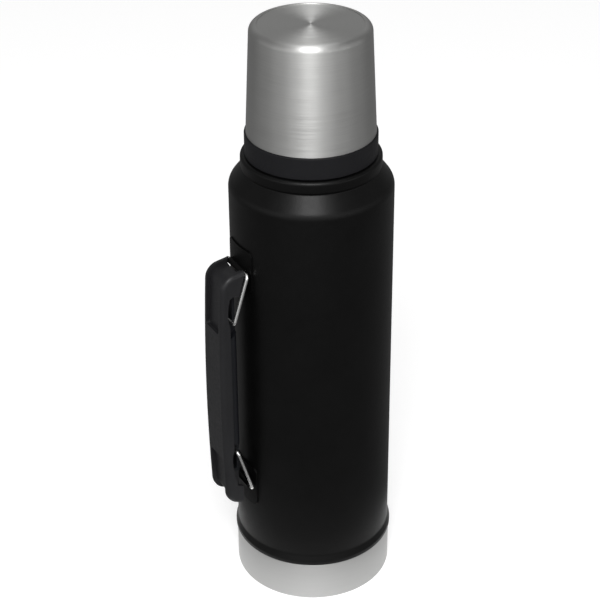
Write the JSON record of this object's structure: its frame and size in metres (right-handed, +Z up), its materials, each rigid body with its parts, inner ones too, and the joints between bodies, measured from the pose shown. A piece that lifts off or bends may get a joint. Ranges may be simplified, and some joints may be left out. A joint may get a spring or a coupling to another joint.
{
  "type": "vacuum growler",
  "caption": "Tall double-walled vacuum bottle with a screw cup lid, an inner screw stopper and a side grip that folds out on two wire bails.",
  "frame": {"origin": "centre of the base's flat underside", "axes": "+Z up along the bottle's axis, the grip is on the -X side"},
  "size_m": [0.1168, 0.0988, 0.3665],
  "materials": {
    "powder_coat": "fine-textured satin black powder coat",
    "brushed_steel": "brushed around the axis",
    "drawn_steel": "plain drawn stainless steel, not brushed",
    "copper_foil": "bright rolled foil",
    "getter_metal": "matt grey",
    "solder": "dull",
    "collar_plastic": "fine matt black",
    "grip_plastic": "satin dark grey, fine grain",
    "palm_plastic": "satin black",
    "stopper_plastic": "satin black",
    "bracket_paint": "satin black",
    "wire_steel": "bright drawn wire",
    "screw_steel": "zinc plated",
    "seal_rubber": "matt",
    "foam": "open-cell foam"
  },
  "bodies": {
    "bottle": {"outer_shell": "powder_coat", "base_cup": "brushed_steel", "vacuum_closure": "drawn_steel", "sealing_bead": "solder", "getter_clip": "getter_metal", "getter_pill": "getter_metal", "inner_liner": "drawn_steel", "foil_wrap": "copper_foil", "upper_bracket": "bracket_paint", "lower_bracket": "bracket_paint"},
    "grip": {"grip_shell": "grip_plastic", "grip_palm": "palm_plastic", "grip_screws": "screw_steel"},
    "upper_bail": {"upper_bail": "wire_steel"},
    "lower_bail": {"lower_bail": "wire_steel"},
    "cup_ring": {"cup_gasket": "seal_rubber"},
    "cup": {"cup_shell": "brushed_steel", "cup_liner": "drawn_steel", "cup_collar": "collar_plastic"},
    "stopper_ring": {"stopper_o_ring": "seal_rubber"},
    "stopper": {"stopper_body": "stopper_plastic", "stopper_cap": "stopper_plastic", "stopper_foam": "foam", "stopper_seal": "seal_rubber"}
  },
  "joints": [
    {"name": "grip_pull", "type": "slide", "parent": "bottle", "child": "grip", "axis": [-1, 0, 0], "range_m": [0, 0.0186]},
    {"name": "upper_bail_swing", "type": "hinge", "parent": "bottle", "child": "upper_bail", "pos_m": [-0.0492, 0, 0.2272], "axis": [0, 1, 0], "range_deg": [0, 43.1]},
    {"name": "lower_bail_swing", "type": "hinge", "parent": "bottle", "child": "lower_bail", "pos_m": [-0.0492, 0, 0.076], "axis": [0, -1, 0], "range_deg": [0, 43.1]},
    {"name": "cup_lift", "type": "slide", "parent": "bottle", "child": "cup_ring", "axis": [0, 0, 1], "range_m": [0, 0.00601]},
    {"name": "cup_turn", "type": "hinge", "parent": "cup_ring", "child": "cup", "pos_m": [0, 0, 0.2957], "axis": [0, 0, 1], "range_deg": [0, 360]},
    {"name": "stopper_lift", "type": "slide", "parent": "bottle", "child": "stopper_ring", "axis": [0, 0, 1], "range_m": [0, 0.00601]},
    {"name": "stopper_turn", "type": "hinge", "parent": "stopper_ring", "child": "stopper", "pos_m": [0, 0, 0.3], "axis": [0, 0, 1], "range_deg": [0, 360]}
  ],
  "couplings": [
    {"joint": "upper_bail_swing", "follows": "grip_pull", "rad_per_m": 40.349},
    {"joint": "lower_bail_swing", "follows": "grip_pull", "rad_per_m": 40.349},
    {"joint": "cup_lift", "follows": "cup_turn", "m_per_rad": 0.00095493},
    {"joint": "stopper_lift", "follows": "stopper_turn", "m_per_rad": 0.00095493}
  ]
}
